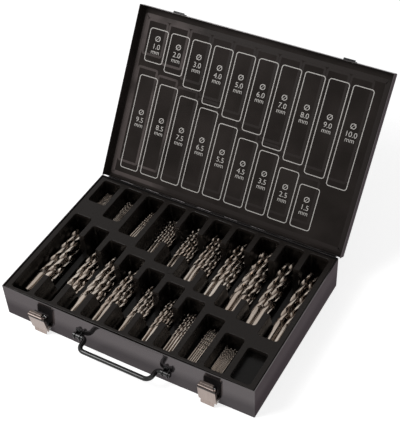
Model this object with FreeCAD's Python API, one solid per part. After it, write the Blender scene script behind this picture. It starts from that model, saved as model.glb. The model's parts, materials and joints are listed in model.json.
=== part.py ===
"""Hinged steel case for 170 twist drills, with a moulded tray, two draw latches and a wire handle.

Millimetres. The origin is the centre of the underside, +X to the right, +Y to the hinge side, +Z up.
The lid is modelled closed and then swung open about the hinge axis, as are the latches and the handle.
"""
import FreeCAD, Part
import math
import os

V = FreeCAD.Vector
X_AXIS, Y_AXIS, Z_AXIS = V(1, 0, 0), V(0, 1, 0), V(0, 0, 1)

# ---- case -----------------------------------------------------------------------------------
case_width = 360.0
case_depth = 236.0
base_height = 52.0
sheet = 1.0                   # steel sheet of base and lid
bend_radius = 1.5             # outside radius of the folded edges
corner_radius = 1.3           # and of the base's upright corners
front_bow = 1.8               # how far the front wall bulges at mid length

lid_side_gap = 0.5            # the lid's walls close over the base's, with this gap at sides and rear
lid_front_gap = 0.4           # and this one in front of the bulge
lid_height = 14.5
lid_gap = 0.4                 # between the base's rim and the closed lid's panel
lid_open_angle = 124.0

half_width = case_width / 2
half_depth = case_depth / 2
lid_half_width = half_width + lid_side_gap + sheet
lid_rear = half_depth + lid_side_gap + sheet
lid_front = -half_depth - front_bow - lid_front_gap - sheet
lid_top = base_height + lid_gap + sheet
lid_rim = lid_top - lid_height
axis_y = lid_rear + 3.0       # hinge axis, behind the lid's rear wall
axis_z = 44.4
rear_wall_rim = axis_z + 0.6  # the lid's rear wall ends here, above the hinge pin

# ---- tray -----------------------------------------------------------------------------------
tray_gap = 1.2                # between the tray and the case's walls
tray_top = 51.0
tray_wall = 1.3
tray_foot = 1.4               # underside of the tray's floor, clear of the case's bottom
pocket_width = 26.8
pocket_pitch = 34.9
pocket_radius = 4.0
pocket_end_margin = 6.8       # from the case's front or rear wall to the nearest pocket end
tray_rim_round = 0.9          # rounded mouths of the pockets and outer edge of the tray
rear_lengths = (44.5, 63.0, 78.0, 92.0, 103.0, 113.5, 124.0, 133.5, 140.5, 151.0)
front_lengths = (148.5, 139.0, 126.5, 116.0, 106.5, 97.5, 86.5, 73.5, 57.5, 50.0)
deepest_pocket = 48.0
empty_pocket_depth = 10.0
notch_depth = 37.0            # finger gap through the walls between the long pockets
notch_slope = 10.0            # its front end leans back by this much
notch_from_end = 35.0
notch_from_step = 24.0
rear_notches = range(3, 9)    # numbered by the pocket on the left of the wall
front_notches = range(0, 6)
ring_x, ring_y = -1.4, 2.4      # moulding mark between the rows
ring_radius, ring_height = 5.2, 0.35

# ---- drills: diameter, length, number, rows from the bottom, lean, turn about Z -----------------
# lean is the gap to the pocket's left wall. The rows are counted from the pocket's floor.
bit_gap = 0.12                # between neighbouring drills
wall_clearance = 0.35         # between the drills and the tray
rear_bits = (
    (1.0, 34, (10,), 0.5, -4.0), (2.0, 49, (6, 4), 0.6, -1.0), (3.0, 61, (5, 5), 0.5, -4.5),
    (4.0, 75, (6, 4), 0.4, 0.0), (5.0, 86, (5, 4, 1), 0.4, 0.0), (6.0, 93, (4, 3, 3), 0.5, -0.3),
    (7.0, 109, (3, 3, 3, 1), 0.5, 0.0), (8.0, 117, (3, 2, 3, 2), 0.4, 0.0),
    (9.0, 125, (2, 1, 2), 1.6, 0.0), (10.0, 133, (2, 1, 2), 0.4, 0.0))
front_bits = (
    (9.5, 125, (2, 1, 2), 0.4, 0.0), (8.5, 117, (3, 2), 0.4, 0.0), (7.5, 109, (3, 2, 3, 2), 0.4, 0.0),
    (6.5, 101, (3, 3, 3, 1), 0.5, -0.6), (5.5, 93, (4, 4, 2), 0.5, 0.3), (4.5, 80, (5, 4, 1), 1.6, 0.5),
    (3.5, 70, (6, 4), 0.6, -0.6), (2.5, 57, (6, 4), 2.0, -2.0), (1.5, 40, (10,), 0.8, -1.5))
tip_angle = 118.0
tip_margin = 1.6              # from the longest drill's tip to the pocket's rear wall
tip_scatter = 1.3             # how far the others lie back, per step of the pattern
scatter_pattern = (0, 2, 1, 3, 0.5, 2.5, 1.5, 0, 3, 1)

# ---- latches: outward distance from the front wall's foot, and height --------------------------
lever_sheet = 0.9
lever_profile = (             # outer face of the closed lever from its foot to the hook's tip
    (10.4, 2.6), (9.2, 8.5), (9.2, 33.8), (6.0, 35.6), (11.2, 38.2), (7.6, 41.6), (4.5, 41.8))
lever_bends = (4.0, 1.2, 0.7, 1.8, 1.5)
lever_width, roll_width, hook_width, tongue_width = 24.0, 20.4, 15.0, 18.5
lever_outline = (             # width of the lever at some heights
    (tongue_width - 2.0, 2.0), (tongue_width, 3.8), (tongue_width, 8.4), (lever_width, 10.6),
    (lever_width, 33.8), (roll_width, 36.8), (roll_width, 39.6), (hook_width, 43.0))
latch_x = 121.7
lever_pivot = (4.6, 11.0)
latch_pin_radius = 1.5
bracket_width = 20.6
bracket_sheet = 1.0
bracket_top = 31.0
latch_rivet_z = 27.0
latch_tilt = {"left": 8.2, "right": 3.6}     # how far the resting lever leans away from the case

# ---- strikes on the lid ---------------------------------------------------------------------
strike_width = 16.0
strike_reach = 2.8            # out from the lid's front wall
strike_top = 40.1             # with the lid closed
strike_leaf_height = 8.8

# ---- handle ---------------------------------------------------------------------------------
wire_radius = 3.1
grip_half_length = 51.0
arm_top_half_width = 52.0
pin_end_half_width = 70.0
arm_length = 18.3
arm_bend, grip_bend = 5.0, 8.0
handle_pivot_out, handle_pivot_z = 6.0, 23.3
ear_inner_x, ear_outer_x = 59.0, 66.4
ear_sheet = 1.4
ear_radius = 4.6
handle_plate_out = 2.6        # outer face of the bracket's plate, from the front wall's foot
handle_plate_half = 9.4
handle_rivet_rise = 6.6       # from the handle's pin to the rivets above and below it

# ---- fasteners and hinges -------------------------------------------------------------------
rivet_radius = 1.2
rivet_head_radius, rivet_head_height = 2.2, 0.8
rivet_tail_radius, rivet_tail_height = 1.9, 0.6
fit = 0.02                    # radial gap of a rivet or a fixed pin in its hole
running_fit = 0.05            # radial gap of a turning pin
hinge_half_length = 174.0
knuckle_count = 17            # nine on the base's leaf and eight on the lid's
knuckle_gap = 0.15
knuckle_radius, hinge_pin_radius = 2.6, 1.2
leaf_sheet = 1.0
base_leaf_foot, base_leaf_head = 30.0, 44.0
lid_leaf_foot, lid_leaf_head = 46.4, 51.8


def box(x0, x1, y0, y1, z0, z1):
    return Part.makeBox(x1 - x0, y1 - y0, z1 - z0, V(x0, y0, z0))


def rod(start, direction, radius, length):
    return Part.makeCylinder(radius, length, start, direction)


def fuse(shapes):
    return shapes[0].multiFuse(shapes[1:]).removeSplitter() if len(shapes) > 1 else shapes[0]


def turned(shape, x_point, angle):
    """Turn a copy about an axis along X through (0, y, z)."""
    copy = shape.copy()
    copy.rotate(V(0, x_point[0], x_point[1]), X_AXIS, angle)
    return copy


def rounded_corner(start, corner, after, radius):
    """The straight from start, the arc that rounds the corner, and the arc's far end."""
    a, b = (start - corner).normalize(), (after - corner).normalize()
    turn = math.pi - a.getAngle(b)
    back = radius * math.tan(turn / 2)
    p, q = corner + a * back, corner + b * back
    middle = corner + (a + b).normalize() * (radius / math.cos(turn / 2) - radius)
    return Part.LineSegment(start, p).toShape(), Part.Arc(p, middle, q).toShape(), q


def moved(shape, x, y, z):
    copy = shape.copy()
    copy.translate(V(x, y, z))
    return copy


def rounded_box(x0, x1, y0, y1, z0, z1, radius):
    """A box with rounded vertical edges."""
    solid = box(x0, x1, y0, y1, z0, z1)
    upright = [e for e in solid.Edges if abs(e.tangentAt(e.FirstParameter).z) > 0.9]
    return solid.makeFillet(radius, upright)


def bowed_block(inset, floor_z, top_z):
    """Block inside the base's walls, whose front wall is one large arc in plan."""
    x, y = half_width - inset, half_depth - inset
    corners = [V(-x, -y, floor_z), V(x, -y, floor_z), V(x, y, floor_z), V(-x, y, floor_z)]
    front = Part.Arc(corners[0], V(0, -y - front_bow, floor_z), corners[1]).toShape()
    sides = [Part.LineSegment(corners[i], corners[(i + 1) % 4]).toShape() for i in (1, 2, 3)]
    return Part.Face(Part.Wire([front] + sides)).extrude(V(0, 0, top_z - floor_z))


def front_wall_y(x):
    """Outside face of the front wall."""
    return -half_depth - front_bow * (1 - (x / half_width) ** 2)


def base_envelope():
    """The base's outside as a solid, folded at its corners and its foot."""
    block = bowed_block(0, 0, base_height)
    block = block.makeFillet(corner_radius, [e for e in block.Edges if e.BoundBox.ZLength > 1])
    return block.makeFillet(bend_radius, [e for e in block.Edges if e.BoundBox.ZMax < 0.01])


envelope = base_envelope()


def rivet(centre, outward, grip):
    """A rivet whose head sits outside at centre and whose tail is inside, grip away."""
    head = rod(centre, outward, rivet_head_radius, rivet_head_height)
    rim = [e for e in head.Edges if abs((e.BoundBox.Center - centre).dot(outward)) > rivet_head_height * 0.9]
    head = head.makeFillet(rivet_head_height * 0.6, rim)
    tail_start = centre - outward * (grip + rivet_tail_height)
    shank = rod(tail_start, outward, rivet_radius, grip + rivet_tail_height)
    tail = rod(tail_start, outward, rivet_tail_radius, rivet_tail_height)
    return fuse([head, shank, tail])


def rivet_hole(centre, outward):
    reach = 6.0
    return rod(centre - outward * reach, outward, rivet_radius + fit, 2 * reach)


# ---- places of the rivets -------------------------------------------------------------------
OUT_FRONT = V(0, -1, 0)
latch_rivet_places = [(side * latch_x + dx, latch_rivet_z) for side in (-1, 1) for dx in (-5.5, 5.5)]
handle_rivet_places = [(side * (ear_inner_x + ear_sheet + ear_outer_x) / 2, handle_pivot_z + dz)
                       for side in (-1, 1) for dz in (-handle_rivet_rise, handle_rivet_rise)]
strike_rivet_z = strike_top + 4.6
strike_rivet_places = [side * latch_x + dx for side in (-1, 1) for dx in (-4.0, 4.0)]


# ---- case -----------------------------------------------------------------------------------
def base_pan():
    pan = envelope.cut(bowed_block(sheet, sheet, base_height + 1))
    holes = [rivet_hole(V(x, front_wall_y(x), z), OUT_FRONT)
             for x, z in latch_rivet_places + handle_rivet_places]
    return pan.cut(Part.makeCompound(holes))


def lid_pan():
    """Lid in the closed pose: its walls hang outside the base's, and the rear one is cut short."""
    x = lid_half_width
    outer = box(-x, x, lid_front, lid_rear, lid_rim, lid_top)
    folds = [e for e in outer.Edges if e.BoundBox.ZMin > lid_top - 0.01 or e.BoundBox.ZLength > 1]
    outer = outer.makeFillet(bend_radius, folds)
    inside = box(-x + sheet, x - sheet, lid_front + sheet, lid_rear - sheet, lid_rim - 1, lid_top - sheet)
    rear_cut = box(-x + sheet, x - sheet, lid_rear - 2 * sheet, lid_rear + 1, lid_rim - 1, rear_wall_rim)
    holes = [rivet_hole(V(rx, lid_front, strike_rivet_z), OUT_FRONT) for rx in strike_rivet_places]
    return outer.cut(Part.makeCompound([fuse([inside, rear_cut])] + holes))


# ---- tray -----------------------------------------------------------------------------------
def pocket_left(column):
    return -(9 * pocket_pitch + pocket_width) / 2 + column * pocket_pitch


def pocket_depth(diameter):
    """Small drills lie on a raised floor."""
    return min(deepest_pocket, 19.0 + 3.9 * diameter)


def pocket_span(row, column):
    """Front and rear end of a pocket."""
    if row == "rear":
        rear = half_depth - pocket_end_margin
        return rear - rear_lengths[column], rear
    front = -half_depth + pocket_end_margin
    return front, front + front_lengths[column]


def all_pockets():
    """Row, column and depth of each of the twenty pockets."""
    for column, bits in enumerate(rear_bits):
        yield "rear", column, pocket_depth(bits[0])
    for column, bits in enumerate(front_bits):
        yield "front", column, pocket_depth(bits[0])
    yield "front", 9, empty_pocket_depth


def notch_span(row, column):
    """Front and rear end of the finger gap in the wall between this column and the next."""
    ends = [pocket_span(row, c) for c in (column, column + 1)]
    if row == "rear":
        return max(e[0] for e in ends) + notch_from_step, ends[0][1] - notch_from_end
    return ends[0][0] + notch_from_end, min(e[1] for e in ends) - notch_from_step


def finger_notch(x0, x1, y0, y1, depth, above):
    """A trough with a sloping front end, down from above the tray's top (or below it, if negative)."""
    floor, top = tray_top - depth, tray_top + above
    slope = notch_slope / notch_depth
    profile = Part.makePolygon([V(x0, y0 + slope * depth, floor), V(x0, y1, floor), V(x0, y1, top),
                                V(x0, y0 - slope * above, top), V(x0, y0 + slope * depth, floor)])
    return Part.Face(profile).extrude(V(x1 - x0, 0, 0))


def insert_tray():
    x = half_width - sheet - tray_gap
    y = half_depth - sheet - tray_gap
    foot = sheet + tray_foot - 1.0
    body = [rounded_box(-x, x, -y, y, foot, tray_top, 2.0)
            .cut(rounded_box(-x + tray_wall, x - tray_wall, -y + tray_wall, y - tray_wall,
                             foot - 1, tray_top - tray_wall, 1.0))]
    pockets = []
    for row, column, depth in all_pockets():
        left = pocket_left(column)
        y0, y1 = pocket_span(row, column)
        floor = tray_top - depth
        body.append(rounded_box(left - tray_wall, left + pocket_width + tray_wall, y0 - tray_wall,
                                y1 + tray_wall, floor - tray_wall, tray_top, pocket_radius + tray_wall))
        pockets.append(rounded_box(left, left + pocket_width, y0, y1, floor, tray_top + 1, pocket_radius))
    tray = fuse(body).cut(Part.makeCompound(pockets))
    tray = tray.makeFillet(tray_rim_round, [e for e in tray.Edges if e.BoundBox.ZMin > tray_top - 0.01])
    troughs, notches = [], []
    for row, columns in (("rear", rear_notches), ("front", front_notches)):
        for column in columns:
            x0 = pocket_left(column) + pocket_width
            x1 = pocket_left(column + 1)
            y0, y1 = notch_span(row, column)
            troughs.append(finger_notch(x0, x1, y0 - tray_wall, y1 + tray_wall, notch_depth + tray_wall, -1))
            notches.append(finger_notch(x0 - 2, x1 + 2, y0, y1, notch_depth, 1))
    ring = rod(V(ring_x, ring_y, tray_top - 0.3), Z_AXIS, ring_radius, ring_height + 0.3)
    ring = ring.cut(rod(V(ring_x, ring_y, tray_top - 1), Z_AXIS, ring_radius - 1.2, 3))
    return fuse([tray] + troughs).cut(Part.makeCompound(notches)).fuse(ring).removeSplitter()


# ---- drills ---------------------------------------------------------------------------------
def drill(diameter, length):
    """A drill along +Y from the origin: round body and conical point."""
    r = diameter / 2
    point = r / math.tan(math.radians(tip_angle / 2))
    body = rod(V(0, 0, 0), Y_AXIS, r, length - point)
    return body.fuse(Part.makeCone(r, 0, point, V(0, length - point, 0), Y_AXIS)).removeSplitter()


def pile(diameter, rows):
    """Centres (x, z) of stacked drills, with x from the leftmost drill's side and z from the floor."""
    pitch = diameter + bit_gap
    room = pocket_width - 2 * wall_clearance - diameter
    if rows[0] * pitch > 0.72 * pocket_width and rows[0] > 1:
        spread = min(room / (rows[0] - 1) - 0.05, 1.70 * pitch)
        spread = max(pitch, spread) if rows[0] < 4 else pitch
        if len(rows) > 2 and rows[0] == rows[1]:
            spread = pitch
    else:
        spread = pitch
    rise = math.sqrt(pitch ** 2 - (spread / 2) ** 2)
    first = (rows[0] - 1) / 2
    places = []
    for level, count in enumerate(rows):
        start = first - (count - 1) / 2
        if (start * 2 - level) % 2:
            start += 0.5 if start < 0.5 or level % 2 else -0.5
        for i in range(count):
            places.append((diameter / 2 + (start + i) * spread, wall_clearance + diameter / 2 + level * rise))
    return places


def bit_set(row, column, diameter, length, rows, lean, turn):
    """The drills of one size, in their pocket."""
    y0, y1 = pocket_span(row, column)
    floor = tray_top - pocket_depth(diameter)
    one = drill(diameter, length)
    places = pile(diameter, rows)
    middle = sum(p[0] for p in places) / len(places)
    width = max(p[0] for p in places) + diameter / 2
    swing = abs(math.sin(math.radians(turn))) * length
    centre_x = pocket_left(column) + max(lean, wall_clearance) + width / 2 + swing / 2
    centre_y = y1 - tip_margin - length / 2
    bits = []
    for i, (x, z) in enumerate(places):
        back = tip_scatter * scatter_pattern[i % len(scatter_pattern)]
        bit = moved(one, x - width / 2, -length / 2 - back, z)
        bit.rotate(V(0, 0, 0), Z_AXIS, turn)
        bits.append(moved(bit, centre_x, centre_y, floor))
    return Part.makeCompound(bits)


# ---- hinge ----------------------------------------------------------------------------------
def knuckle_spans(first):
    """Every second knuckle along the hinge, as (x0, x1), from the first or the second one."""
    pitch = 2 * hinge_half_length / knuckle_count
    starts = [-hinge_half_length + i * pitch for i in range(first, knuckle_count, 2)]
    return [(x + knuckle_gap / 2, x + pitch - knuckle_gap / 2) for x in starts]


def bored(shape, radius):
    return shape.cut(rod(V(-half_width, axis_y, axis_z), X_AXIS, radius, case_width))


def base_leaf():
    """Full-length leaf on the base's rear wall, joined to its knuckles by a step."""
    h = hinge_half_length
    leaf = [box(-h, h, half_depth, half_depth + leaf_sheet, base_leaf_foot, base_leaf_head)]
    for x0, x1 in knuckle_spans(0):
        leaf.append(box(x0, x1, half_depth, axis_y, axis_z - knuckle_radius, base_leaf_head))
        leaf.append(rod(V(x0, axis_y, axis_z), X_AXIS, knuckle_radius, x1 - x0))
    return bored(fuse(leaf), hinge_pin_radius + fit)


def lid_leaf():
    """Full-length leaf on the lid's rear wall, in the closed pose."""
    h = hinge_half_length
    leaf = [box(-h, h, lid_rear, lid_rear + leaf_sheet, lid_leaf_foot, lid_leaf_head)]
    for x0, x1 in knuckle_spans(1):
        leaf.append(box(x0, x1, lid_rear, lid_rear + leaf_sheet, axis_z, lid_leaf_foot))
        leaf.append(rod(V(x0, axis_y, axis_z), X_AXIS, knuckle_radius, x1 - x0))
    return bored(fuse(leaf), hinge_pin_radius + running_fit)


def hinge_pin():
    half = hinge_half_length + 0.8
    return rod(V(-half, axis_y, axis_z), X_AXIS, hinge_pin_radius, 2 * half)


# ---- latches: built closed at x = 0, out from the front wall's foot ---------------------------
def out(d, z):
    """A point in the latch's own plane: d out from the wall's foot, z up."""
    return V(0, -half_depth - d, z)


def bent_strip(points, bends, width, thickness):
    """Bent sheet along a path in the latch's plane; its inner face lies thickness nearer the wall."""
    edges = []
    start = out(*points[0])
    for point, after, radius in zip(points[1:], points[2:], bends):
        straight, arc, start = rounded_corner(start, out(*point), out(*after), radius)
        edges += [straight, arc]
    edges.append(Part.LineSegment(start, out(*points[-1])).toShape())
    face = Part.Wire(edges).makeOffset2D(thickness, 2, True, True)
    return moved(face.extrude(V(width, 0, 0)), -width / 2, 0, 0)


def upright_outline(widths, y0, y1):
    """Prism through y0..y1 whose width at each listed height is given."""
    right = [V(width / 2, y0, z) for width, z in widths]
    left = [V(-width / 2, y0, z) for width, z in reversed(widths)]
    wire = Part.makePolygon(right + left + right[:1])
    return Part.Face(wire).extrude(V(0, y1 - y0, 0))


def latch_lever():
    """Pressed lever: finger tongue at its foot, ears on the pin, groove, roll and hook at its head."""
    pd, pz = lever_pivot
    pressed = bent_strip(lever_profile, lever_bends, lever_width, lever_sheet)
    front_view = upright_outline(lever_outline, -half_depth - 15, -half_depth + 3)
    half = lever_width / 2
    face_d = lever_profile[1][0]
    ears = []
    for side in (-1, 1):
        x0, x1 = sorted((side * half, side * (half - lever_sheet)))
        ears.append(box(x0, x1, -half_depth - face_d + lever_sheet / 2, -half_depth - pd, pz - 3.4, pz + 3.4))
        ears.append(rod(V(x0, -half_depth - pd, pz), X_AXIS, 3.4, x1 - x0))
        ears.append(box(x0, x1, -half_depth - face_d + lever_sheet / 2, -half_depth - face_d + 3.4,
                        pz + 3.0, 33.0))
    lever = fuse([pressed.common(front_view)] + ears)
    return lever.cut(rod(V(-20, -half_depth - pd, pz), X_AXIS, latch_pin_radius + running_fit, 40))


def latch_pin():
    pd, pz = lever_pivot
    half = lever_width / 2 + 0.3
    pin = [rod(V(-half, -half_depth - pd, pz), X_AXIS, latch_pin_radius, 2 * half)]
    pin += [rod(V(side * half - (0.8 if side < 0 else 0), -half_depth - pd, pz), X_AXIS, 2.2, 0.8)
            for side in (-1, 1)]
    return fuse(pin)


def latch_bracket(side):
    """Plate riveted to the front wall, with two ears that carry the lower pin."""
    pd, pz = lever_pivot
    x = side * latch_x
    half = bracket_width / 2
    plate_out = -half_depth - 0.75 - bracket_sheet
    plate = box(x - half, x + half, plate_out, -half_depth + 1, pz - 4.5, bracket_top)
    ears = []
    for s in (-1, 1):
        x0, x1 = sorted((x + s * half, x + s * (half - bracket_sheet)))
        ears.append(box(x0, x1, -half_depth - pd, -half_depth + 1, pz - 3.0, pz + 3.0))
        ears.append(rod(V(x0, -half_depth - pd, pz), X_AXIS, 3.0, x1 - x0))
    bracket = fuse([plate] + ears).cut(envelope)
    bore = rod(V(x - 20, -half_depth - pd, pz), X_AXIS, latch_pin_radius + fit, 40)
    holes = [rivet_hole(V(rx, front_wall_y(rx), rz), OUT_FRONT)
             for rx, rz in latch_rivet_places if rx * side > 0]
    return bracket.cut(Part.makeCompound([bore] + holes))


def strike(side):
    """Bent catch plate on the lid's front wall, closed pose."""
    x = side * latch_x
    half = strike_width / 2
    foot = strike_top - sheet
    leaf = box(x - half, x + half, lid_front - sheet, lid_front, foot, foot + strike_leaf_height)
    lip = box(x - half, x + half, lid_front - strike_reach, lid_front, foot, strike_top)
    plate = fuse([leaf, lip])
    holes = [rivet_hole(V(rx, lid_front, strike_rivet_z), OUT_FRONT)
             for rx in strike_rivet_places if rx * side > 0]
    return plate.cut(Part.makeCompound(holes))


# ---- handle ---------------------------------------------------------------------------------
handle_axis = (-half_depth - handle_pivot_out, handle_pivot_z)


def handle_bail():
    """Bent wire, standing level: pins, two arms and the grip."""
    ay, az = handle_axis
    corners = [(pin_end_half_width, 0), (arm_top_half_width, 0), (grip_half_length, arm_length),
               (-grip_half_length, arm_length), (-arm_top_half_width, 0), (-pin_end_half_width, 0)]
    points = [V(x, ay - reach, az) for x, reach in corners]
    bends = [arm_bend, grip_bend, grip_bend, arm_bend]
    edges, start = [], points[0]
    for point, after, radius in zip(points[1:], points[2:], bends):
        straight, arc, start = rounded_corner(start, point, after, radius)
        edges += [straight, arc]
    edges.append(Part.LineSegment(start, points[-1]).toShape())
    section = Part.Wire([Part.makeCircle(wire_radius, points[0], X_AXIS)])
    return Part.Wire(edges).makePipeShell([section], True, False)


def handle_bracket(side):
    """Plate with two ears round the handle's pin."""
    ay, az = handle_axis
    x0, x1 = sorted((side * ear_inner_x, side * (ear_outer_x + ear_sheet)))
    parts = [box(x0, x1, -half_depth - handle_plate_out, -half_depth + 1,
                 az - handle_plate_half, az + handle_plate_half)]
    for e in (ear_inner_x, ear_outer_x):
        x0, x1 = sorted((side * e, side * (e + ear_sheet)))
        parts.append(box(x0, x1, ay, -half_depth + 1, az - ear_radius, az + ear_radius))
        parts.append(rod(V(x0, ay, az), X_AXIS, ear_radius, x1 - x0))
    bracket = fuse(parts).cut(envelope)
    bore = rod(V(-100, ay, az), X_AXIS, wire_radius + running_fit, 200)
    holes = [rivet_hole(V(rx, front_wall_y(rx), rz), OUT_FRONT)
             for rx, rz in handle_rivet_places if rx * side > 0]
    return bracket.cut(Part.makeCompound([bore] + holes))


# ---- assembly -------------------------------------------------------------------------------
def opened_lid(shape):
    return turned(shape, (axis_y, axis_z), -lid_open_angle)


def opened_lever(shape, side_name):
    pd, pz = lever_pivot
    side = -1 if side_name == "left" else 1
    return moved(turned(shape, (-half_depth - pd, pz), latch_tilt[side_name]), side * latch_x, 0, 0)


def front_rivets(places, plate_out):
    """Rivets through a plate whose outer face is plate_out in front of the wall's foot."""
    rivets = []
    for x, z in places:
        inside = front_wall_y(x) + sheet + 0.15
        head = V(x, -half_depth - plate_out, z)
        rivets.append(rivet(head, OUT_FRONT, inside - head.y))
    return Part.makeCompound(rivets)


def build():
    nodes = {"base_pan": base_pan(), "lid_pan": opened_lid(lid_pan()), "insert_tray": insert_tray()}
    for row, sizes in (("rear", rear_bits), ("front", front_bits)):
        for column, (diameter, length, rows, lean, turn) in enumerate(sizes):
            name = "drills_%s_mm" % str(diameter).replace(".", "_")
            nodes[name] = bit_set(row, column, diameter, length, rows, lean, turn)
    for side_name, side in (("left", -1), ("right", 1)):
        nodes["latch_bracket_" + side_name] = latch_bracket(side)
        nodes["latch_pin_" + side_name] = moved(latch_pin(), side * latch_x, 0, 0)
        nodes["latch_lever_" + side_name] = opened_lever(latch_lever(), side_name)
        nodes["lid_strike_" + side_name] = opened_lid(strike(side))
        nodes["handle_bracket_" + side_name] = handle_bracket(side)
    nodes["hinge_base_leaf"] = base_leaf()
    nodes["hinge_lid_leaf"] = opened_lid(lid_leaf())
    nodes["hinge_pin"] = hinge_pin()
    nodes["handle_bail"] = handle_bail()
    nodes["latch_rivets"] = front_rivets(latch_rivet_places, 0.75 + bracket_sheet)
    nodes["handle_rivets"] = front_rivets(handle_rivet_places, handle_plate_out)
    nodes["strike_rivets"] = opened_lid(Part.makeCompound(
        [rivet(V(x, lid_front - sheet, strike_rivet_z), OUT_FRONT, 2 * sheet) for x in strike_rivet_places]))
    return nodes


def main():
    os.makedirs("parts", exist_ok=True)
    for name, shape in build().items():
        shape.exportStep("parts/%s.step" % name)
        print(name, len(shape.Solids), "solids", round(shape.Volume), "mm3", "ok" if shape.isValid() else "INVALID")


main()
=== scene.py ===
"""Finish, fluted drills, printed size chart, light and camera for the hinged drill case."""
import json
import math
import random

import bmesh
import bpy
from mathutils import Matrix, Vector

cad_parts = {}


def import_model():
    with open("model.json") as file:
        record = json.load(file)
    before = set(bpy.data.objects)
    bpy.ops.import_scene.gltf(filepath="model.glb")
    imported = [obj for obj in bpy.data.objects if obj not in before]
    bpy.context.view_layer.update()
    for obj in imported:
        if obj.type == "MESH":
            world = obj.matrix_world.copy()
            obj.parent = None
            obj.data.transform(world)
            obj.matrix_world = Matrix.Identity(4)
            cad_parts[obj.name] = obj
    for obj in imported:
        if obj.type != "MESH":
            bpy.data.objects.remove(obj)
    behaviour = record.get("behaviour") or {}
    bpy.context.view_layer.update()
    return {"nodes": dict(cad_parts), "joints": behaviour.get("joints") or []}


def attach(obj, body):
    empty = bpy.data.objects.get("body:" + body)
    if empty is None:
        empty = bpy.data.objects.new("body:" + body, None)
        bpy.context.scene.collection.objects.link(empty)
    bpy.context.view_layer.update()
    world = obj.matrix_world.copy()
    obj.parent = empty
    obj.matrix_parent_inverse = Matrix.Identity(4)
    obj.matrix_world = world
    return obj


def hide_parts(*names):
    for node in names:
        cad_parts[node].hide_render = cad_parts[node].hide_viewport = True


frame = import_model()

MM = 0.001
scene = bpy.context.scene
nodes = frame["nodes"]
joints = {joint["name"]: joint for joint in frame["joints"]}


def farthest(name, direction):
    """How far a carried-over node goes from the origin in a direction."""
    return max(v.co.dot(direction) for v in nodes[name].data.vertices)


UP, RIGHT, LEFT = Vector((0, 0, 1)), Vector((1, 0, 0)), Vector((-1, 0, 0))
REARWARD, FORWARD = Vector((0, 1, 0)), Vector((0, -1, 0))
BASE_HEIGHT = farthest("base_pan", UP)
HALF_CASE = farthest("base_pan", RIGHT)
SHEET = 1.0 * MM
LID_TURN = Matrix.Rotation(math.radians(joints["lid_hinge"]["range_deg"][0]), 4, "X")


# ---- materials ------------------------------------------------------------------------------
NOISE_LOW, NOISE_HIGH = 0.3, 0.7
TINT_LOW, TINT_HIGH = 0.35, 0.65
EDGE_TINT = (0.34, 0.32, 0.33, 1.0)


def new_material(name, color, roughness, metallic=0.0):
    material = bpy.data.materials.new(name)
    material.use_nodes = True
    shader = material.node_tree.nodes["Principled BSDF"]
    shader.inputs["Base Color"].default_value = (*color, 1.0)
    shader.inputs["Roughness"].default_value = roughness
    shader.inputs["Metallic"].default_value = metallic
    return material, shader


def add_node(material, kind, **settings):
    node = material.node_tree.nodes.new(kind)
    for key, value in settings.items():
        if key in node.inputs:
            node.inputs[key].default_value = value
        else:
            setattr(node, key, value)
    return node


def link(material, source, target):
    material.node_tree.links.new(source, target)


def grain(material, scale, stretch=(1.0, 1.0, 1.0), detail=3.0):
    """Noise on object coordinates, stretched along the axes, as a factor from 0 to 1."""
    place = add_node(material, "ShaderNodeTexCoord")
    mapping = add_node(material, "ShaderNodeMapping", Scale=stretch)
    noise = add_node(material, "ShaderNodeTexNoise", Scale=scale, Detail=detail)
    link(material, place.outputs["Object"], mapping.inputs["Vector"])
    link(material, mapping.outputs["Vector"], noise.inputs["Vector"])
    return noise.outputs["Fac"]


def between(material, factor, low, high):
    """A number that follows a factor, from low to high."""
    mapped = add_node(material, "ShaderNodeMapRange")
    mapped.inputs["From Min"].default_value = NOISE_LOW
    mapped.inputs["From Max"].default_value = NOISE_HIGH
    mapped.inputs["To Min"].default_value = low
    mapped.inputs["To Max"].default_value = high
    link(material, factor, mapped.inputs["Value"])
    return mapped.outputs["Result"]


def tint(material, factor, first, second):
    """A colour that follows a factor."""
    ramp = add_node(material, "ShaderNodeValToRGB")
    ramp.color_ramp.elements[0].position = TINT_LOW
    ramp.color_ramp.elements[0].color = (*first, 1.0)
    ramp.color_ramp.elements[1].position = TINT_HIGH
    ramp.color_ramp.elements[1].color = (*second, 1.0)
    link(material, factor, ramp.inputs["Fac"])
    return ramp.outputs["Color"]


def along_axis(material, axis, start, end):
    """A factor from 0 where an object coordinate is at start to 1 at end."""
    place = add_node(material, "ShaderNodeTexCoord")
    parts = add_node(material, "ShaderNodeSeparateXYZ")
    rise = add_node(material, "ShaderNodeMapRange")
    rise.inputs["From Min"].default_value = start
    rise.inputs["From Max"].default_value = end
    link(material, place.outputs["Object"], parts.inputs["Vector"])
    link(material, parts.outputs[axis], rise.inputs["Value"])
    return rise.outputs["Result"]


def covered(material, factor, under, over):
    """A colour that gives way to a second, plain one as a factor rises."""
    mix = add_node(material, "ShaderNodeMix", data_type="RGBA")
    mix.inputs["B"].default_value = (*over, 1.0)
    link(material, factor, mix.inputs["Factor"])
    link(material, under, mix.inputs["A"])
    return mix.outputs["Result"]


def combined(material, operation, first, second):
    """One factor worked out from two."""
    result = add_node(material, "ShaderNodeMath", operation=operation)
    link(material, first, result.inputs[0])
    link(material, second, result.inputs[1])
    return result.outputs["Value"]


def bump(material, shader, factor, distance, strength):
    relief = add_node(material, "ShaderNodeBump", Strength=strength, Distance=distance)
    link(material, factor, relief.inputs["Height"])
    link(material, relief.outputs["Normal"], shader.inputs["Normal"])


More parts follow.
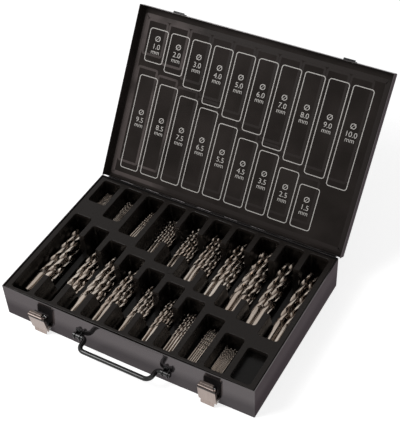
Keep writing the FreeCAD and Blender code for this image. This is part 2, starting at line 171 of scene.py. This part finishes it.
def base_enamel():
    """Glossy stoved enamel on sheet steel, with a fine orange peel, and a painted sheen that greys it
    towards the rim.
    """
    material, shader = new_material("base_enamel", (0.160, 0.150, 0.152), 0.12, metallic=0.9)
    shader.inputs["IOR"].default_value = 1.2
    shader.inputs["Specular Tint"].default_value = EDGE_TINT
    peel = grain(material, 260.0, detail=2.0)
    clouds = grain(material, 14.0, detail=4.0)
    link(material, between(material, clouds, 0.08, 0.15), shader.inputs["Roughness"])
    # Painted sheen: the base colour turns greyer from the foot up to the rim, standing in for reflections of
    # the surroundings.
    height = along_axis(material, "Z", 0.0, BASE_HEIGHT)
    link(material, tint(material, height, (0.082, 0.076, 0.078), (0.128, 0.118, 0.120)),
         shader.inputs["Base Color"])
    bump(material, shader, peel, 0.00005, 0.35)
    return material


SKIN_INSIDE, SKIN_OUTSIDE = 0.6 * SHEET, 0.3 * SHEET


def outer_skin(material, name, direction):
    """A factor of 1 on a node's outer skin in a direction, and 0 beyond the middle of its sheet."""
    place = add_node(material, "ShaderNodeTexCoord")
    along = add_node(material, "ShaderNodeVectorMath", operation="DOT_PRODUCT")
    along.inputs[1].default_value = direction
    link(material, place.outputs["Object"], along.inputs[0])
    surface = farthest(name, direction)
    skin = add_node(material, "ShaderNodeMapRange")
    skin.inputs["From Min"].default_value = surface - SKIN_INSIDE
    skin.inputs["From Max"].default_value = surface - SKIN_OUTSIDE
    link(material, along.outputs["Value"], skin.inputs["Value"])
    return skin.outputs["Result"]


def lid_enamel():
    """Dull brownish black inside the lid, and the base's gloss on its outer faces."""
    material, shader = new_material("lid_enamel", (0.030, 0.025, 0.023), 0.30)
    shader.inputs["IOR"].default_value = 1.10
    shader.inputs["Specular Tint"].default_value = EDGE_TINT
    outside = outer_skin(material, "lid_pan", LID_TURN @ UP)
    for direction in (LID_TURN @ FORWARD, LID_TURN @ REARWARD, RIGHT, LEFT):
        outside = combined(material, "MAXIMUM", outside, outer_skin(material, "lid_pan", direction))
    peel = grain(material, 900.0, detail=2.0)
    clouds = grain(material, 18.0, detail=5.0)
    inside = tint(material, clouds, (0.019, 0.016, 0.0145), (0.030, 0.025, 0.023))
    link(material, covered(material, outside, inside, (0.110, 0.101, 0.103)), shader.inputs["Base Color"])
    link(material, between(material, outside, 0.31, 0.13), shader.inputs["Roughness"])
    link(material, between(material, outside, 0.0, 0.9), shader.inputs["Metallic"])
    bump(material, shader, peel, 0.00004, 0.5)
    return material


RUB_FADES, RUB_FULL = -40 * MM, -150 * MM


def rubbed_and_painted_light_enamel():
    """Enamel rubbed paler where the tray's webs have marked the lid, most of all at its left; it also
    colours the painted pale band of light round the lid's inner edge.
    """
    material, shader = new_material("rubbed_and_painted_light_enamel", (0.055, 0.046, 0.044), 0.34)
    shader.inputs["IOR"].default_value = 1.16
    patches = grain(material, 22.0, detail=5.0)
    leftward = between(material, along_axis(material, "X", RUB_FADES, RUB_FULL), 0.45, 1.3)
    amount = combined(material, "MULTIPLY", patches, leftward)
    link(material, tint(material, amount, (0.024, 0.0195, 0.018), (0.078, 0.064, 0.061)),
         shader.inputs["Base Color"])
    return material


POCKET_SHADE, TRAY_FACE = 42 * MM, 50.4 * MM


def tray_plastic():
    """Black moulded plastic with a fine grain from the mould, and painted shade that darkens it down into
    the pockets below its top face.
    """
    material, shader = new_material("tray_plastic", (0.017, 0.0135, 0.0115), 0.28)
    shader.inputs["IOR"].default_value = 1.23
    # Painted shade: the base colour darkens from the top face down into the pockets.
    height = along_axis(material, "Z", POCKET_SHADE, TRAY_FACE)
    link(material, tint(material, height, (0.003, 0.0024, 0.002), (0.012, 0.0095, 0.0082)),
         shader.inputs["Base Color"])
    pores = grain(material, 1800.0, detail=2.0)
    rubs = grain(material, 60.0, detail=5.0)
    link(material, between(material, rubs, 0.20, 0.34), shader.inputs["Roughness"])
    bump(material, shader, pores, 0.00005, 0.5)
    return material


def drill_steel():
    """Ground high-speed steel: bright on the lands, painted shade in the flutes and over some whole drills,
    a warm cast in places.
    """
    material, shader = new_material("drill_steel", (0.58, 0.50, 0.43), 0.18, metallic=1.0)
    rings = grain(material, 40.0, stretch=(1.0, 60.0, 1.0), detail=3.0)
    cast = grain(material, 55.0, stretch=(2.0, 0.25, 2.0), detail=2.0)
    # Painted shade: the flute layer darkens the steel in the flutes, and over whole drills by chance.
    painted_shade_amount = add_node(material, "ShaderNodeAttribute", attribute_name="flute")
    ground = tint(material, cast, (0.47, 0.39, 0.33), (0.57, 0.51, 0.45))
    painted_shade = covered(material, painted_shade_amount.outputs["Fac"], ground, (0.14, 0.11, 0.088))
    link(material, painted_shade, shader.inputs["Base Color"])
    link(material, between(material, rings, 0.15, 0.28), shader.inputs["Roughness"])
    bump(material, shader, rings, 0.00003, 0.4)
    return material


# Heights of the painted shade and highlight bands on a latch lever.
GROOVE_FOOT, GROOVE_HEAD, HOOK_FOOT = 30.8 * MM, 34.4 * MM, 38.5 * MM
PAINTED_LIGHT_FADE, SHADE_TOP = 0.6 * MM, 50 * MM


def satin_nickel():
    """Nickel plate over pressed steel, drawn up and down, with painted shade in the groove and on the hook,
    and a painted highlight on the roll between them.
    """
    material, shader = new_material("satin_nickel", (0.50, 0.44, 0.41), 0.34, metallic=1.0)
    drawn = grain(material, 60.0, stretch=(30.0, 1.0, 1.0), detail=4.0)
    link(material, between(material, drawn, 0.26, 0.40), shader.inputs["Roughness"])
    plated = tint(material, drawn, (0.27, 0.218, 0.195), (0.35, 0.288, 0.260))
    # Painted light by height: shade in the groove, a highlight on the roll above it, and shade on the hook.
    ramp = add_node(material, "ShaderNodeValToRGB")
    painted_light_stops = ((GROOVE_FOOT - PAINTED_LIGHT_FADE, 1.0), (GROOVE_FOOT, 0.10), (GROOVE_HEAD, 0.10),
             (GROOVE_HEAD + PAINTED_LIGHT_FADE, 2.2), (HOOK_FOOT, 2.2), (HOOK_FOOT + PAINTED_LIGHT_FADE, 0.30))
    while len(ramp.color_ramp.elements) < len(painted_light_stops):
        ramp.color_ramp.elements.new(1.0)
    for element, (z, painted_light_level) in zip(ramp.color_ramp.elements, painted_light_stops):
        element.position = z / SHADE_TOP
        element.color = (painted_light_level, painted_light_level, painted_light_level, 1.0)
    link(material, along_axis(material, "Z", 0.0, SHADE_TOP), ramp.inputs["Fac"])
    mixed = add_node(material, "ShaderNodeMix", data_type="RGBA", blend_type="MULTIPLY")
    mixed.inputs["Factor"].default_value = 1.0
    link(material, plated, mixed.inputs["A"])
    link(material, ramp.outputs["Color"], mixed.inputs["B"])
    link(material, mixed.outputs["Result"], shader.inputs["Base Color"])
    bump(material, shader, drawn, 0.00002, 0.4)
    return material


def zinc_plate():
    """Dull spangled zinc on the pins and rivets."""
    material, shader = new_material("zinc_plate", (0.56, 0.56, 0.55), 0.34, metallic=1.0)
    spangle = grain(material, 700.0, detail=2.0)
    link(material, between(material, spangle, 0.26, 0.46), shader.inputs["Roughness"])
    bump(material, shader, spangle, 0.00003, 0.3)
    return material


def gloss_lacquer():
    """Thick black lacquer on the handle, the hinge, the brackets and the strikes."""
    material, shader = new_material("gloss_lacquer", (0.004, 0.004, 0.004), 0.14)
    shader.inputs["IOR"].default_value = 1.40
    drips = grain(material, 120.0, detail=3.0)
    link(material, between(material, drips, 0.10, 0.20), shader.inputs["Roughness"])
    bump(material, shader, drips, 0.00008, 0.4)
    return material


def chart_ink():
    """Off-white screen-printed ink with small gaps in its cover."""
    material, shader = new_material("chart_ink", (0.62, 0.59, 0.54), 0.45)
    cover = grain(material, 1500.0, detail=3.0)
    link(material, tint(material, cover, (0.36, 0.34, 0.32), (0.52, 0.50, 0.47)),
         shader.inputs["Base Color"])
    return material


# ---- carried-over nodes -----------------------------------------------------------------------
def dress(material, *names):
    """One finish on the whole of each node."""
    for name in names:
        mesh = nodes[name].data
        mesh.materials.clear()
        mesh.materials.append(material)


def named(*starts):
    return [name for name in nodes if name.startswith(starts)]


def finished(bm, name, material, sharp):
    """The bmesh as an object at the origin, smooth but for its sharp edges."""
    for face in bm.faces:
        face.smooth = True
    for edge in bm.edges:
        edge.smooth = edge.calc_face_angle(0.0) < sharp
    mesh = bpy.data.meshes.new(name)
    bm.to_mesh(mesh)
    bm.free()
    mesh.materials.append(material)
    piece = bpy.data.objects.new(name, mesh)
    scene.collection.objects.link(piece)
    return piece


# ---- drills -----------------------------------------------------------------------------------
FLUTE_LENGTHS = {1.0: 12, 1.5: 18, 2.0: 24, 2.5: 30, 3.0: 33, 3.5: 39, 4.0: 43, 4.5: 47, 5.0: 52, 5.5: 57,
                 6.0: 57, 6.5: 63, 7.0: 69, 7.5: 69, 8.0: 75, 8.5: 75, 9.0: 81, 9.5: 81, 10.0: 87}
TIP_ANGLE = math.radians(118)
HELIX_ANGLE = math.radians(30)
FLUTE_DEPTH = 0.70
FLUTE_HALF_ANGLE = math.radians(56)
FLUTE_FULLNESS = 0.8
STEPS_A_TURN, FEWEST_STEPS = 14, 8
FINE = 2.2 * MM
SIDES_FINE, SIDES_COARSE = 12, 20
# The most painted shade that a fine and a coarse drill may get; the fine ones, packed deep in their pockets,
# get more.
MOST_PAINTED_SHADE_FINE, MOST_PAINTED_SHADE_COARSE = 0.60, 0.30
CHAMFER, CHAMFER_RISE = 0.86, 0.07
RUNOUT = 1.3
CHISEL = 0.25
DRILL_EDGE = math.radians(40)
WELD, SHANK_END = 0.01 * MM, 0.4 * MM
LAYER_CLEAR = 0.01 * MM   # keeps a layer's height off the edge where rounding could go either way
SEED = 7


def flute_cut(angle):
    """How deep the two flutes cut at an angle round the drill, from 0 on the lands to 1 in the flutes."""
    off = (angle + math.pi / 2) % math.pi - math.pi / 2
    if abs(off) >= FLUTE_HALF_ANGLE:
        return 0.0
    return math.cos(math.pi / 2 * off / FLUTE_HALF_ANGLE) ** FLUTE_FULLNESS


def twist_drill(bm, diameter, length, roll, painted_drill_shade):
    """One drill standing on its shank at the origin, its point up. Returns its vertices."""
    painted_shade_amount = bm.verts.layers.float["flute"]
    radius = diameter / 2
    flute = FLUTE_LENGTHS[round(diameter / MM, 1)] * MM
    sides = SIDES_FINE if diameter < FINE else SIDES_COARSE
    first = bmesh.ops.create_circle(bm, cap_ends=True, segments=sides, radius=radius * CHAMFER)["verts"]
    cut = {v: flute_cut(math.atan2(v.co.y, v.co.x)) for v in first}
    ring, made = first, list(first)
    lead = math.pi * diameter / math.tan(HELIX_ANGLE)
    steps = max(FEWEST_STEPS, round(flute / lead * STEPS_A_TURN))
    runout = RUNOUT * diameter

    def next_ring(height, turn, amount, spread=1.0):
        """Extrude the ring to a height, turn it, and cut the flutes into it."""
        nonlocal ring, cut
        whole = set(ring)
        edges = dict.fromkeys(e for v in ring for e in v.link_edges if e.other_vert(v) in whole)
        made_now = bmesh.ops.extrude_edge_only(bm, edges=list(edges))["geom"]
        fresh = [g for g in made_now if isinstance(g, bmesh.types.BMVert)]
        pairs = {}
        for v in fresh:
            old = next(e.other_vert(v) for e in v.link_edges if e.other_vert(v) in cut)
            pairs[v] = cut[old]
            angle = math.atan2(v.co.y, v.co.x) + turn
            reach = radius * spread * (1 - FLUTE_DEPTH * amount * pairs[v])
            drop = reach / math.tan(TIP_ANGLE / 2) if height >= length else 0.0
            v.co = Vector((reach * math.cos(angle), reach * math.sin(angle), min(height, length) - drop))
            # The flute layer holds painted shade: as much as the flute cuts, and never less than the drill's
            # own painted shade.
            v[painted_shade_amount] = max(painted_drill_shade, amount * pairs[v])
        ring, cut = fresh, pairs
        made.extend(fresh)

    next_ring(CHAMFER_RISE * diameter, 0.0, 0.0)
    next_ring(length - flute - runout, 0.0, 0.0)
    start = length - flute - runout
    top = length - radius / math.tan(TIP_ANGLE / 2)
    for i in range(1, steps + 1):
        height = start + (top - start) * i / steps
        amount = min(1.0, (height - start) / runout)
        next_ring(height, 2 * math.pi * (top - start) / steps / lead, amount)
    next_ring(length, 0.0, 1.0)
    next_ring(length, 0.0, 1.0, CHISEL)
    bmesh.ops.contextual_create(bm, geom=ring)
    bmesh.ops.rotate(bm, verts=made, matrix=Matrix.Rotation(roll, 3, "Z"))
    return made


def rods_of(node):
    """Where the drills of a node lie: (shank end, point) of each of its separate solids."""
    bm = bmesh.new()
    bm.from_mesh(node.data)
    bmesh.ops.remove_doubles(bm, verts=bm.verts, dist=WELD)
    bm.verts.index_update()
    left, rods = set(bm.verts), []
    while left:
        island, edge = set(), [left.pop()]
        while edge:
            v = edge.pop()
            island.add(v)
            near = {e.other_vert(v) for e in v.link_edges} - island
            edge.extend(near)
        left -= island
        solid = sorted(island, key=lambda v: v.index)
        tip = max(solid, key=lambda v: v.co.y).co.copy()
        foot = min(v.co.y for v in solid)
        shank = [v.co for v in solid if v.co.y < foot + SHANK_END]
        rods.append((sum(shank, Vector()) / len(shank), tip))
    bm.free()
    return sorted(rods, key=lambda rod: (round(rod[0].z + LAYER_CLEAR, 4), rod[0].x))


def fluted_drills(name, material, chance):
    """Fluted drills in place of a node's plain rods, each turned by chance and given a painted shade by
    chance.
    """
    diameter = float(name.split("_")[1] + "." + name.split("_")[2]) * MM
    bm = bmesh.new()
    bm.verts.layers.float.new("flute")
    for shank, tip in rods_of(nodes[name]):
        along = tip - shank
        roll = chance.uniform(0, 2 * math.pi)
        # Painted shade over the whole drill, by chance.
        painted_drill_shade = chance.uniform(0, MOST_PAINTED_SHADE_FINE if diameter < FINE else MOST_PAINTED_SHADE_COARSE)
        made = twist_drill(bm, diameter, along.length, roll, painted_drill_shade)
        place = Matrix.Translation(shank) @ along.to_track_quat("Z", "X").to_matrix().to_4x4()
        bmesh.ops.transform(bm, matrix=place, verts=made)
    bmesh.ops.recalc_face_normals(bm, faces=bm.faces)
    piece = finished(bm, "fluted_" + name, material, sharp=DRILL_EDGE)
    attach(piece, "case_base")
    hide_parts(name)


# ---- size chart inside the lid ----------------------------------------------------------------
CHART_PITCH, CHART_WIDTH, CHART_LEFT = 32.9 * MM, 28.6 * MM, 15.8 * MM
TOP_ROW_TOP, BOTTOM_ROW_BOTTOM = 217.2 * MM, 19.5 * MM
TOP_ROW = ((1.0, 46), (2.0, 53.5), (3.0, 65), (4.0, 79), (5.0, 88), (6.0, 97), (7.0, 109),
           (8.0, 118), (9.0, 126), (10.0, 132))
BOTTOM_ROW = ((9.5, 133), (8.5, 128), (7.5, 121), (6.5, 114), (5.5, 101.5), (4.5, 91), (3.5, 84),
              (2.5, 70.5), (1.5, 58))
LINE, CORNER, INK = 1.1 * MM, 4.0 * MM, 0.08 * MM
RUB_LEFT, RUB_UP, RUB_LINE, RUB_WIDTH = 6.5 * MM, 8.0 * MM, 3.2 * MM, 32.4 * MM
# Where a painted pale band of light runs round the lid's inner edge, against the shade of the lid's skirt.
EDGE_PAINTED_LIGHT, EDGE_PAINTED_LIGHT_LINE = (3.5 * MM, 7.0 * MM, 353.0 * MM, 227.2 * MM), 5.7 * MM
SIGN, FIGURES, UNIT = (10.5 * MM, 9.5 * MM), (9.8 * MM, -1.0 * MM), (8.6 * MM, -8.3 * MM)   # size and rise
WORDS_MIDDLE, WORDS_DRIFT = 50, 0.07
CHART_EDGE = math.radians(30)


def lid_frame():
    """Places a flat print, hinge at the foot and x to the right, on the inside of the open lid."""
    axis = Vector(joints["lid_hinge"]["pos_m"])
    opened = Matrix.Translation(axis) @ LID_TURN @ Matrix.Translation(-axis)
    closed_top = max((opened.inverted() @ v.co).z for v in nodes["lid_pan"].data.vertices)
    face = Matrix(((1, 0, 0, -HALF_CASE), (0, -1, 0, axis.y), (0, 0, -1, closed_top - SHEET), (0, 0, 0, 1)))
    return opened @ face


def rounded_outline(bm, x, y, width, height, line=LINE):
    """A flat rounded frame, line wide, inside a rectangle."""
    corners = [bm.verts.new((x + a * width, y + b * height, 0)) for a, b in ((0, 0), (1, 0), (1, 1), (0, 1))]
    face = bm.faces.new(corners)
    bmesh.ops.bevel(bm, geom=corners, affect="VERTICES", offset=CORNER, segments=6, profile=0.5, material=-1)
    middle = Vector((x + width / 2, y + height / 2, 0))
    face = next(f for f in bm.faces if (f.calc_center_median() - middle).length < width / 4)
    bmesh.ops.inset_region(bm, faces=[face], thickness=line, use_boundary=True, use_even_offset=True)
    bmesh.ops.delete(bm, geom=[face], context="FACES")


def text_mesh(words, size, centre):
    """Words as a flat mesh with their middle at centre."""
    curve = bpy.data.curves.new("words", "FONT")
    curve.body = words
    curve.size = size
    curve.align_x, curve.align_y = "CENTER", "CENTER"
    carrier = bpy.data.objects.new("words", curve)
    scene.collection.objects.link(carrier)
    bpy.context.view_layer.update()
    mesh = bpy.data.meshes.new_from_object(carrier)
    bpy.data.objects.remove(carrier)
    mesh.transform(Matrix.Translation(centre))
    return mesh


def size_chart(material, rubs_and_painted_light):
    """Pocket outlines and sizes printed inside the lid, over the marks that the tray has rubbed and a
    painted pale band of light round the lid's inner edge.
    """
    outlines, numbers, rubs = bmesh.new(), bmesh.new(), bmesh.new()
    # A painted pale band of light round the lid's inner edge, lifting the shade that the skirt casts there.
    rounded_outline(rubs, *EDGE_PAINTED_LIGHT, EDGE_PAINTED_LIGHT_LINE)
    for row, sizes in (("top", TOP_ROW), ("bottom", BOTTOM_ROW)):
        for i, (diameter, length) in enumerate(sizes):
            height = length * MM
            x = CHART_LEFT + i * CHART_PITCH
            y = TOP_ROW_TOP - height if row == "top" else BOTTOM_ROW_BOTTOM
            rounded_outline(outlines, x, y, CHART_WIDTH, height)
            rounded_outline(rubs, x - RUB_LEFT, y + RUB_UP, RUB_WIDTH, height + RUB_LINE, RUB_LINE)
            drift = (length - WORDS_MIDDLE) * WORDS_DRIFT * MM
            middle = Vector((x + CHART_WIDTH / 2, y + height / 2 + drift, 0))
            for words, (size, rise) in (("Ø", SIGN), ("%.1f" % diameter, FIGURES), ("mm", UNIT)):
                part = text_mesh(words, size, middle + Vector((0, rise, 0)))
                numbers.from_mesh(part)
                bpy.data.meshes.remove(part)
    for bm, name, ink, thick in ((outlines, "chart_outlines", material, INK),
                                 (numbers, "chart_numbers", material, INK),
                                 (rubs, "lid_rub_marks_and_painted_light", rubs_and_painted_light, INK / 4)):
        raised = bmesh.ops.extrude_face_region(bm, geom=bm.faces[:])["geom"]
        lifted = [g for g in raised if isinstance(g, bmesh.types.BMVert)]
        bmesh.ops.translate(bm, verts=lifted, vec=(0, 0, thick))
        bmesh.ops.transform(bm, matrix=lid_frame(), verts=bm.verts)
        bmesh.ops.recalc_face_normals(bm, faces=bm.faces)
        piece = finished(bm, name, ink, sharp=CHART_EDGE)
        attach(piece, "lid")


# ---- floor, light and camera --------------------------------------------------------------------
CAMERA_PLACE = Vector((0.49794, -0.73399, 1.00249))
CAMERA_RIGHT = Vector((0.868507, 0.493088, -0.050603))
CAMERA_DOWN = Vector((0.326893, -0.646517, -0.689316))
CAMERA_AHEAD = Vector((-0.372609, 0.582134, -0.722691))
FOCAL_PIXELS = 1021.2
CENTRE_PIXELS = (188.06, 257.90)
IMAGE_WIDTH, IMAGE_HEIGHT = 400, 423
SENSOR = 36.0
NEAREST, FARTHEST = 0.05, 50.0
FLOOR_REACH, FLOOR_GLOW = 6.0, 0.74
SKY_LIGHT, SKY_SEEN = 0.26, 1.0
WHITE = (1, 1, 1, 1)
AIM = Vector((0, 0, 0.05))
LAMPS = (("key", Vector((-0.9, -0.9, 1.5)), (0.8, 0.8), 24),
         ("fill", Vector((1.3, -0.6, 0.9)), (0.9, 1.4), 3))   # name, place, size and power


def camera():
    """A camera above the front right corner, with its picture shifted off the middle of the lens."""
    data = bpy.data.cameras.new("camera")
    data.sensor_width = SENSOR
    data.lens = FOCAL_PIXELS / IMAGE_HEIGHT * SENSOR
    data.shift_x = (IMAGE_WIDTH / 2 - CENTRE_PIXELS[0]) / IMAGE_HEIGHT
    data.shift_y = (CENTRE_PIXELS[1] - IMAGE_HEIGHT / 2) / IMAGE_HEIGHT
    data.clip_start, data.clip_end = NEAREST, FARTHEST
    viewer = bpy.data.objects.new("camera", data)
    axes = Matrix((CAMERA_RIGHT, -CAMERA_DOWN, -CAMERA_AHEAD)).transposed()
    viewer.matrix_world = Matrix.Translation(CAMERA_PLACE) @ axes.to_4x4()
    scene.collection.objects.link(viewer)
    scene.camera = viewer


def sight_rays(material):
    """1 for what the camera, metal and glass see, and 0 for what lights the case."""
    path = add_node(material, "ShaderNodeLightPath").outputs
    seen = combined(material, "MAXIMUM", path["Is Camera Ray"], path["Is Glossy Ray"])
    return combined(material, "MAXIMUM", seen, path["Is Transmission Ray"])


def floor():
    """A pale floor that looks white but for the case's shadow."""
    bm = bmesh.new()
    bmesh.ops.create_grid(bm, x_segments=1, y_segments=1, size=FLOOR_REACH)
    mesh = bpy.data.meshes.new("floor")
    bm.to_mesh(mesh)
    bm.free()
    material, shader = new_material("pale_floor", (0.55, 0.55, 0.55), 0.7)
    glow = add_node(material, "ShaderNodeMath", operation="MULTIPLY")
    glow.inputs[1].default_value = FLOOR_GLOW
    link(material, sight_rays(material), glow.inputs[0])
    shader.inputs["Emission Color"].default_value = WHITE
    link(material, glow.outputs["Value"], shader.inputs["Emission Strength"])
    mesh.materials.append(material)
    ground = bpy.data.objects.new("floor", mesh)
    scene.collection.objects.link(ground)


def world():
    """A white sky that lights the case only softly."""
    sky = bpy.data.worlds.new("studio")
    scene.world = sky
    sky.use_nodes = True
    back = sky.node_tree.nodes["Background"]
    strength = add_node(sky, "ShaderNodeMapRange")
    strength.inputs["To Min"].default_value = SKY_LIGHT
    strength.inputs["To Max"].default_value = SKY_SEEN
    link(sky, sight_rays(sky), strength.inputs["Value"])
    link(sky, strength.outputs["Result"], back.inputs["Strength"])
    back.inputs["Color"].default_value = WHITE


def softbox(name, place, size, power):
    data = bpy.data.lights.new(name, "AREA")
    data.shape = "RECTANGLE"
    data.size, data.size_y = size
    data.energy = power
    lamp = bpy.data.objects.new(name, data)
    turn = (AIM - place).to_track_quat("-Z", "Y")
    lamp.matrix_world = Matrix.Translation(place) @ turn.to_matrix().to_4x4()
    scene.collection.objects.link(lamp)


def light():
    world()
    for lamp in LAMPS:
        softbox(*lamp)


# ---- assembly -----------------------------------------------------------------------------------
def main():
    base_paint, lid_paint, lacquer = base_enamel(), lid_enamel(), gloss_lacquer()
    plastic, steel, nickel, zinc = tray_plastic(), drill_steel(), satin_nickel(), zinc_plate()
    dress(base_paint, "base_pan")
    dress(lid_paint, "lid_pan")
    dress(plastic, "insert_tray")
    dress(nickel, *named("latch_lever"))
    dress(lacquer, "handle_bail", "handle_rivets", "hinge_base_leaf", "hinge_lid_leaf", "strike_rivets",
          *named("handle_bracket", "latch_bracket", "lid_strike"))
    dress(zinc, "latch_rivets", "hinge_pin", *named("latch_pin"))
    chance = random.Random(SEED)
    for name in sorted(named("drills_")):
        fluted_drills(name, steel, chance)
    size_chart(chart_ink(), rubbed_and_painted_light_enamel())
    camera()
    floor()
    light()
    scene.view_settings.view_transform = "Standard"


main()
